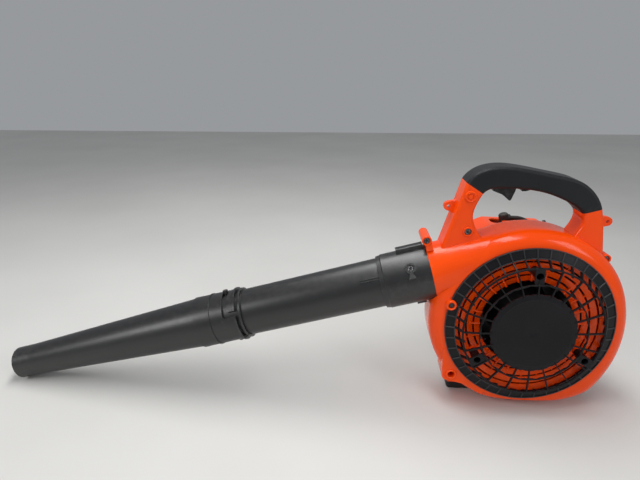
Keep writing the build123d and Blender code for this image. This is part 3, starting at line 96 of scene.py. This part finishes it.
def surface(name, dark, light, rough, grain=900.0, grain_depth=0.15, wear=None, wear_amount=0.5, dust=0.12,
            metallic=0.0, coat=0.0, spread=9.0, specular=0.5, sheen=0.0, sss=0.0, ripple=0.08):
    """Procedural finish: patchy colour, uneven gloss, fine grain, worn edges and a little dust."""
    made = bpy.data.materials.new(name)
    made.use_nodes = True
    tree = made.node_tree
    shader = tree.nodes["Principled BSDF"]
    place = node(tree, "ShaderNodeTexCoord").outputs["Object"]
    patches = node(tree, "ShaderNodeTexNoise", [("Vector", place)], Scale=spread, Detail=6.0, Roughness=0.6)
    specks = node(tree, "ShaderNodeTexNoise", [("Vector", place)],
                  Scale=spread * 22, Detail=4.0, Roughness=0.65)
    fine = node(tree, "ShaderNodeTexNoise", [("Vector", place)], Scale=grain, Detail=3.0, Roughness=0.55)
    colour = ramp(tree, patches.outputs["Fac"], 0.32, 0.68, ((*dark, 1), (*light, 1)))
    # dust settles on what faces up
    facing = node(tree, "ShaderNodeNewGeometry")
    upward = node(tree, "ShaderNodeSeparateXYZ", [("Vector", facing.outputs["Normal"])])
    upward = ramp(tree, upward.outputs["Z"], 0.25, 0.95)
    dusty = ramp(tree, specks.outputs["Fac"], 0.42, 0.72)
    dusty = node(tree, "ShaderNodeMix", [("A", upward), ("B", dusty)], data_type="RGBA", blend_type="MULTIPLY")
    dusty.inputs["Factor"].default_value = 1.0
    dusty = node(tree, "ShaderNodeMath", [(0, dusty.outputs["Result"])], operation="MULTIPLY")
    dusty.inputs[1].default_value = dust
    powdered = node(tree, "ShaderNodeMix", [("Factor", dusty.outputs[0]), ("A", colour)], data_type="RGBA")
    powdered.inputs["B"].default_value = DUST
    colour = powdered.outputs["Result"]
    if wear:
        # corners rub paler, in patches
        corner = ramp(tree, facing.outputs["Pointiness"], 0.52, 0.62)
        broken = ramp(tree, specks.outputs["Fac"], 0.45, 0.62)
        rubbed = node(tree, "ShaderNodeMix", [("A", corner), ("B", broken)],
                      data_type="RGBA", blend_type="MULTIPLY")
        rubbed.inputs["Factor"].default_value = 1.0
        rubbed = node(tree, "ShaderNodeMath", [(0, rubbed.outputs["Result"])], operation="MULTIPLY")
        rubbed.inputs[1].default_value = wear_amount
        worn = node(tree, "ShaderNodeMix", [("Factor", rubbed.outputs[0]), ("A", colour)], data_type="RGBA")
        worn.inputs["B"].default_value = (*wear, 1)
        colour = worn.outputs["Result"]
    tree.links.new(colour, shader.inputs["Base Color"])
    uneven = node(tree, "ShaderNodeMapRange", [("Value", specks.outputs["Fac"])])
    limits = {"From Min": 0.3, "From Max": 0.7, "To Min": rough - 0.03, "To Max": rough + 0.05}
    for key, value in limits.items():
        uneven.inputs[key].default_value = value
    tree.links.new(uneven.outputs["Result"], shader.inputs["Roughness"])
    soft = node(tree, "ShaderNodeBevel", Radius=EDGE_SOFTNESS)
    bump = node(tree, "ShaderNodeBump", [("Height", fine.outputs["Fac"]), ("Normal", soft.outputs["Normal"])],
                Strength=grain_depth, Distance=0.0004)
    wave = node(tree, "ShaderNodeBump",
                [("Height", patches.outputs["Fac"]), ("Normal", bump.outputs["Normal"])],
                Strength=ripple, Distance=0.002)
    tree.links.new(wave.outputs["Normal"], shader.inputs["Normal"])
    shader.inputs["Metallic"].default_value = metallic
    shader.inputs["Coat Weight"].default_value = coat
    shader.inputs["Coat Roughness"].default_value = 0.12
    shader.inputs["Specular IOR Level"].default_value = specular
    shader.inputs["Sheen Weight"].default_value = sheen
    if sss:
        shader.inputs["Subsurface Weight"].default_value = sss
        shader.inputs["Subsurface Radius"].default_value = (0.006, 0.006, 0.005)
    return made


orange = surface("orange_plastic", (0.84, 0.062, 0.001), (0.90, 0.074, 0.002), 0.17, grain=1500,
                 grain_depth=0.02, wear=(0.95, 0.16, 0.03), wear_amount=0.25, dust=0.008, coat=0.05,
                 specular=0.24, ripple=0.03)
tube_black = surface("tube_plastic", (0.0055, 0.0055, 0.006), (0.0095, 0.0095, 0.010), 0.36, grain=1300,
                     grain_depth=0.05, wear=(0.07, 0.07, 0.07), wear_amount=0.4, dust=0.03, spread=6.0,
                     specular=0.70)
black = surface("black_plastic", (0.006, 0.006, 0.0065), (0.011, 0.011, 0.012), 0.36, grain=1100,
                grain_depth=0.12, wear=(0.07, 0.07, 0.07), wear_amount=0.4, dust=0.05, specular=0.32)
guard_grey = surface("guard_plastic", (0.005, 0.005, 0.006), (0.008, 0.008, 0.010), 0.38, grain=1200,
                     grain_depth=0.15, wear=(0.05, 0.05, 0.053), wear_amount=0.10, dust=0.03,
                     specular=0.20)
# lighter copy of the guard's black plastic: painted highlight for rib crests that catch the light; the paler
# edges are wear
rib_highlight_grey = surface("guard_rib_painted_highlight", (0.022, 0.022, 0.024), (0.034, 0.034, 0.037), 0.36, grain=1200,
                   grain_depth=0.12, wear=(0.12, 0.12, 0.125), wear_amount=0.45, dust=0.06, specular=0.4)
grip_skin = surface("grip_skin", (0.007, 0.008, 0.009), (0.011, 0.012, 0.014), 0.48, grain=1700,
                    grain_depth=0.35, wear=(0.08, 0.08, 0.085), wear_amount=0.35, dust=0.04, sheen=0.02,
                    specular=0.24)
rubber = surface("rubber", (0.008, 0.008, 0.008), (0.016, 0.016, 0.016), 0.65, grain=1000,
                 grain_depth=0.35, dust=0.2)
steel = surface("machined_steel", (0.42, 0.42, 0.43), (0.56, 0.56, 0.57), 0.30, grain=2200,
                grain_depth=0.12, wear=(0.75, 0.75, 0.75), metallic=1.0, dust=0.08, spread=30)
dark_steel = surface("black_steel", (0.030, 0.030, 0.032), (0.055, 0.055, 0.058), 0.38, grain=1800,
                     grain_depth=0.25, wear=(0.45, 0.45, 0.46), wear_amount=0.8, metallic=0.7, dust=0.10,
                     spread=40)
alloy = surface("cast_alloy", (0.40, 0.41, 0.42), (0.56, 0.57, 0.58), 0.48, grain=700, grain_depth=0.7,
                wear=(0.78, 0.78, 0.79), metallic=1.0, dust=0.15, spread=25)
hot_steel = surface("muffler_steel", (0.16, 0.12, 0.09), (0.36, 0.34, 0.32), 0.42, grain=900,
                    grain_depth=0.4, wear=(0.55, 0.53, 0.5), metallic=1.0, dust=0.1, spread=18)
tank_white = surface("tank_plastic", (0.62, 0.61, 0.54), (0.74, 0.73, 0.67), 0.38, grain=900,
                     grain_depth=0.2, dust=0.2, sss=0.5, spread=14)
red_rubber = surface("primer_rubber", (0.34, 0.05, 0.02), (0.48, 0.09, 0.04), 0.38, grain=1300,
                     grain_depth=0.1, dust=0.1, sss=0.3)
foam = surface("filter_foam", (0.030, 0.030, 0.033), (0.075, 0.075, 0.08), 0.9, grain=650,
               grain_depth=1.0, dust=0.25)
ceramic = surface("ceramic", (0.70, 0.69, 0.66), (0.82, 0.82, 0.80), 0.22, grain=1500, grain_depth=0.05,
                  dust=0.1)
braid = surface("cord_braid", (0.022, 0.022, 0.024), (0.05, 0.05, 0.055), 0.8, grain=1400,
                grain_depth=0.9, dust=0.1)
phenolic = surface("phenolic", (0.040, 0.022, 0.014), (0.070, 0.040, 0.026), 0.55, grain=900,
                   grain_depth=0.4)

FINISH = {
    "orange": orange, "black": black, "grip": grip_skin, "guard": guard_grey, "rubber": rubber, "steel": steel,
    "dark_steel": dark_steel, "alloy": alloy, "muffler_steel": hot_steel, "tank": tank_white,
    "clear_rubber": red_rubber, "foam": foam, "ceramic": ceramic, "cord": braid, "phenolic": phenolic,
}
slots = {entry["node"]: entry["material_slot"] for entry in frame["record"]["subparts"]}
for name, piece in frame["nodes"].items():
    finish = FINISH[slots[name]]
    if name in ("blower_tube", "nozzle", "joint_sleeve"):
        finish = tube_black
    piece.data.materials.clear()
    piece.data.materials.append(finish)


# ---------------------------------------------------------------- moulded detail on the case and the guard
RIBS = 40
FIRST_RIB = 91.5             # degrees
RIM_FOOT = [(105.9, -5.4), (107.6, -5.5), (119.4, -1.6)]
GUARD_MIDDLE = FAN_Z * 1000
LOUVRES = 4
HIGH_SCREWS = ((-150.6, 265.6), (-94.2, 280.3), (100.3, 244.6))
LOWER_SCREW = (-103.9, 61.3)
RIM_BOSS = (-113.2, 177.3)
LEG_SCREW = (-94.7, 330.9)


def piece(name, corners, faces, finish, body):
    """A mesh made from its corners, finished, smoothed and set riding on a body."""
    mesh = bpy.data.meshes.new(name)
    mesh.from_pydata(corners, [], faces)
    made = bpy.data.objects.new(name, mesh)
    bpy.context.collection.objects.link(made)
    made.data.materials.append(finish)
    for side in mesh.polygons:
        side.use_smooth = True
    bevelled = made.modifiers.new("soft_edges", "BEVEL")
    bevelled.width = 0.0003
    bevelled.segments = 2
    bevelled.angle_limit = radians(35)
    bevelled.harden_normals = True
    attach(made, body)
    return made


def lathed(corners, faces, x, z, profile, steps=48):
    """Add a closed ring to a mesh: profile of (radius, depth) in millimetres, turned about a line along Y."""
    start = len(corners)
    count = len(profile)
    for step in range(steps):
        t = 2 * pi * step / steps
        corners += [at(x + radius * cos(t), depth, z + radius * sin(t)) for radius, depth in profile]
    for step in range(steps):
        here, there = start + step * count, start + (step + 1) % steps * count
        for i in range(count):
            j = (i + 1) % count
            faces.append((here + i, here + j, there + j, there + i))


def bar(corners, faces, turn, width, run, height):
    """Add a radial bar on the fan axis, standing height in front of its foot's run of (radius, depth)."""
    start = len(corners)
    t = radians(turn)
    across = Vector((-sin(t), 0, cos(t))) * width / 2000
    for radius, depth in run:
        foot = at(radius * cos(t), depth, AXIS_Z + radius * sin(t))
        crest = foot + Vector((0, -height / 1000, 0))
        corners += [foot - across * 1.3, crest - across * 0.8, crest + across * 0.8, foot + across * 1.3]
    for k in range(len(run) - 1):
        here, there = start + 4 * k, start + 4 * k + 4
        faces += [(here + i, here + (i + 1) % 4, there + (i + 1) % 4, there + i) for i in range(4)]
    faces += [(start + 3, start + 2, start + 1, start)]
    last = start + 4 * (len(run) - 1)
    faces += [(last, last + 1, last + 2, last + 3)]


# ribs and edges that cross the guard's sloping rim, in the lighter rib grey: a painted highlight on their
# crests
corners, faces = [], []
for k in range(RIBS):
    bar(corners, faces, FIRST_RIB + k * 360 / RIBS, 1.7, RIM_FOOT, 1.5)
for inner, outer, depth in ((105.6, 107.0, -5.4), (118.7, 120.2, -1.4)):
    crest = depth - 1.6
    ring = [(inner, depth), (inner, crest), (outer, crest), (outer, depth)]
    lathed(corners, faces, 0, GUARD_MIDDLE, ring, 160)
piece("guard_rim_ribs", corners, faces, rib_highlight_grey, "housing")

# faint turned ring in the blank disc
corners, faces = [], []
lathed(corners, faces, 0, GUARD_MIDDLE, [(50.8, -22.9), (51.4, -23.9), (52.0, -23.9), (52.8, -22.9)], 120)
piece("guard_disc_marks", corners, faces, guard_grey, "housing")

# lips that close the louvres' gaps to slots
corners, faces = [], []
for i in range(LOUVRES):
    radius = 108 - i * 11
    depth = 1.0 + 2.8 * i
    outer, inner = radius - 6.6, radius - 8.3
    lip = [(outer, depth + 2.3), (inner, depth + 2.9), (inner, depth + 4.6), (outer, depth + 4.2)]
    lathed(corners, faces, 0, GUARD_MIDDLE, lip, 160)
piece("louvre_lips", corners, faces, orange, "housing")

# raised rims round the sunk screws
corners, faces = [], []
for x, z in HIGH_SCREWS:
    lathed(corners, faces, x, z, [(4.9, 20.6), (4.9, 19.0), (5.5, 18.4), (6.5, 18.5), (7.2, 19.6), (7.2, 20.6)])
lathed(corners, faces, *LOWER_SCREW,
       [(5.3, -0.5), (5.3, -2.0), (6.0, -2.6), (7.2, -2.4), (8.2, -1.4), (8.4, -0.5)])
# the upper front one stands through the guard's rim
lathed(corners, faces, *RIM_BOSS, [(4.4, 0), (4.4, -6.4), (5.2, -7.2), (6.7, -7.0), (7.6, -5.8), (7.8, 0)])
# ring and plug in the front leg
lathed(corners, faces, *LEG_SCREW,
       [(5.4, 20.6), (5.5, 19.2), (6.2, 18.6), (7.4, 18.9), (8.2, 20.0), (8.4, 21.4)])
lathed(corners, faces, *LEG_SCREW, [(0.01, 19.6), (2.6, 19.7), (3.7, 20.2), (4.1, 21.0), (4.1, 23), (0.01, 23)])
piece("case_screw_rims", corners, faces, orange, "housing")

# head of the screw in that boss
corners, faces = [], []
lathed(corners, faces, *RIM_BOSS, [(0.01, -5.0), (3.2, -5.0), (3.9, -4.6), (4.3, -4.5), (4.3, 0), (0.01, 0)])
piece("rim_screw_head", corners, faces, dark_steel, "housing")

# ---------------------------------------------------------------- starter rope, a three-strand laid cord in the CAD rope's place
rope_lo, rope_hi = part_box("starter_rope")
rope_foot = Vector(((rope_lo[0] + rope_hi[0]) / 2, (rope_lo[1] + rope_hi[1]) / 2, rope_lo[2]))
rope_top = Vector((rope_foot[0], rope_foot[1], rope_hi[2]))
ROPE_R = (rope_hi[0] - rope_lo[0]) / 2
ROPE_RINGS = 240
ROPE_SIDES = 18
STRANDS = 3
RINGS_PER_STRAND = 12        # rings in which one strand takes the next one's place
corners, faces = [], []
for ring in range(ROPE_RINGS + 1):
    lay = 2 * pi * ring / RINGS_PER_STRAND / STRANDS
    centre = rope_foot.lerp(rope_top, ring / ROPE_RINGS)
    for side in range(ROPE_SIDES):
        t = 2 * pi * side / ROPE_SIDES
        r = ROPE_R * (0.88 + 0.12 * cos(STRANDS * (t - lay)))
        corners.append(centre + Vector((r * cos(t), r * sin(t), 0)))
for ring in range(ROPE_RINGS):
    here, there = ring * ROPE_SIDES, (ring + 1) * ROPE_SIDES
    for i in range(ROPE_SIDES):
        j = (i + 1) % ROPE_SIDES
        faces.append((here + i, here + j, there + j, there + i))
faces += [tuple(reversed(range(ROPE_SIDES))), tuple(ROPE_RINGS * ROPE_SIDES + i for i in range(ROPE_SIDES))]
rope_mesh = bpy.data.meshes.new("starter_rope_laid")
rope_mesh.from_pydata(corners, [], faces)
rope = bpy.data.objects.new("starter_rope_laid", rope_mesh)
bpy.context.collection.objects.link(rope)
rope.data.materials.append(braid)
for side in rope_mesh.polygons:
    side.use_smooth = len(side.vertices) == 4
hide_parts("starter_rope")
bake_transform(rope)

# ---------------------------------------------------------------- floor, light and camera
bpy.ops.mesh.primitive_plane_add(size=8, location=(0, 0, 0))
floor = bpy.context.object
floor.name = "floor"
pale = bpy.data.materials.new("floor_paper")
pale.use_nodes = True
pale_tree = pale.node_tree
pale_shader = pale_tree.nodes["Principled BSDF"]
floor_place = node(pale_tree, "ShaderNodeTexCoord").outputs["Object"]
cloud = node(pale_tree, "ShaderNodeTexNoise", [("Vector", floor_place)], Scale=2.0, Detail=4.0)
pale_colour = ramp(pale_tree, cloud.outputs["Fac"], 0.3, 0.7, ((0.62, 0.61, 0.585, 1), (0.68, 0.67, 0.645, 1)))
pale_tree.links.new(pale_colour, pale_shader.inputs["Base Color"])
pale_shader.inputs["Roughness"].default_value = 0.75
floor.data.materials.append(pale)

world = bpy.data.worlds.new("studio")
bpy.context.scene.world = world
world.use_nodes = True
sky = world.node_tree.nodes["Background"]
sky.inputs["Color"].default_value = (0.86, 0.89, 0.93, 1)
sky.inputs["Strength"].default_value = 0.36
bpy.context.scene.view_settings.view_transform = "Standard"


def softbox(name, place, aim, size, power):
    """A rectangular area light at place, facing aim; size in metres, power in watts."""
    light = bpy.data.lights.new(name, "AREA")
    light.shape = "RECTANGLE"
    light.size, light.size_y = size
    light.energy = power
    lamp = bpy.data.objects.new(name, light)
    bpy.context.collection.objects.link(lamp)
    lamp.location = place
    lamp.rotation_euler = (Vector(aim) - Vector(place)).to_track_quat("-Z", "Y").to_euler()


softbox("overhead", (0.0, -0.05, 1.5), (0.08, -0.02, 0.15), (1.8, 0.35), 19)
softbox("left", (-1.5, -1.2, 1.2), (0, 0, 0.15), (0.6, 0.7), 12)
softbox("right", (1.5, -1.3, 1.0), (0.3, 0, 0.15), (0.6, 0.9), 8)

camera = bpy.data.cameras.new("camera")
camera.lens = 28.0
camera.sensor_width = 36.0
eye = bpy.data.objects.new("camera", camera)
bpy.context.collection.objects.link(eye)
eye.location = at(-255.4, -666.6, 487.6)
eye.rotation_euler = (radians(90 - 18.03), 0, radians(4.06))
bpy.context.scene.camera = eye
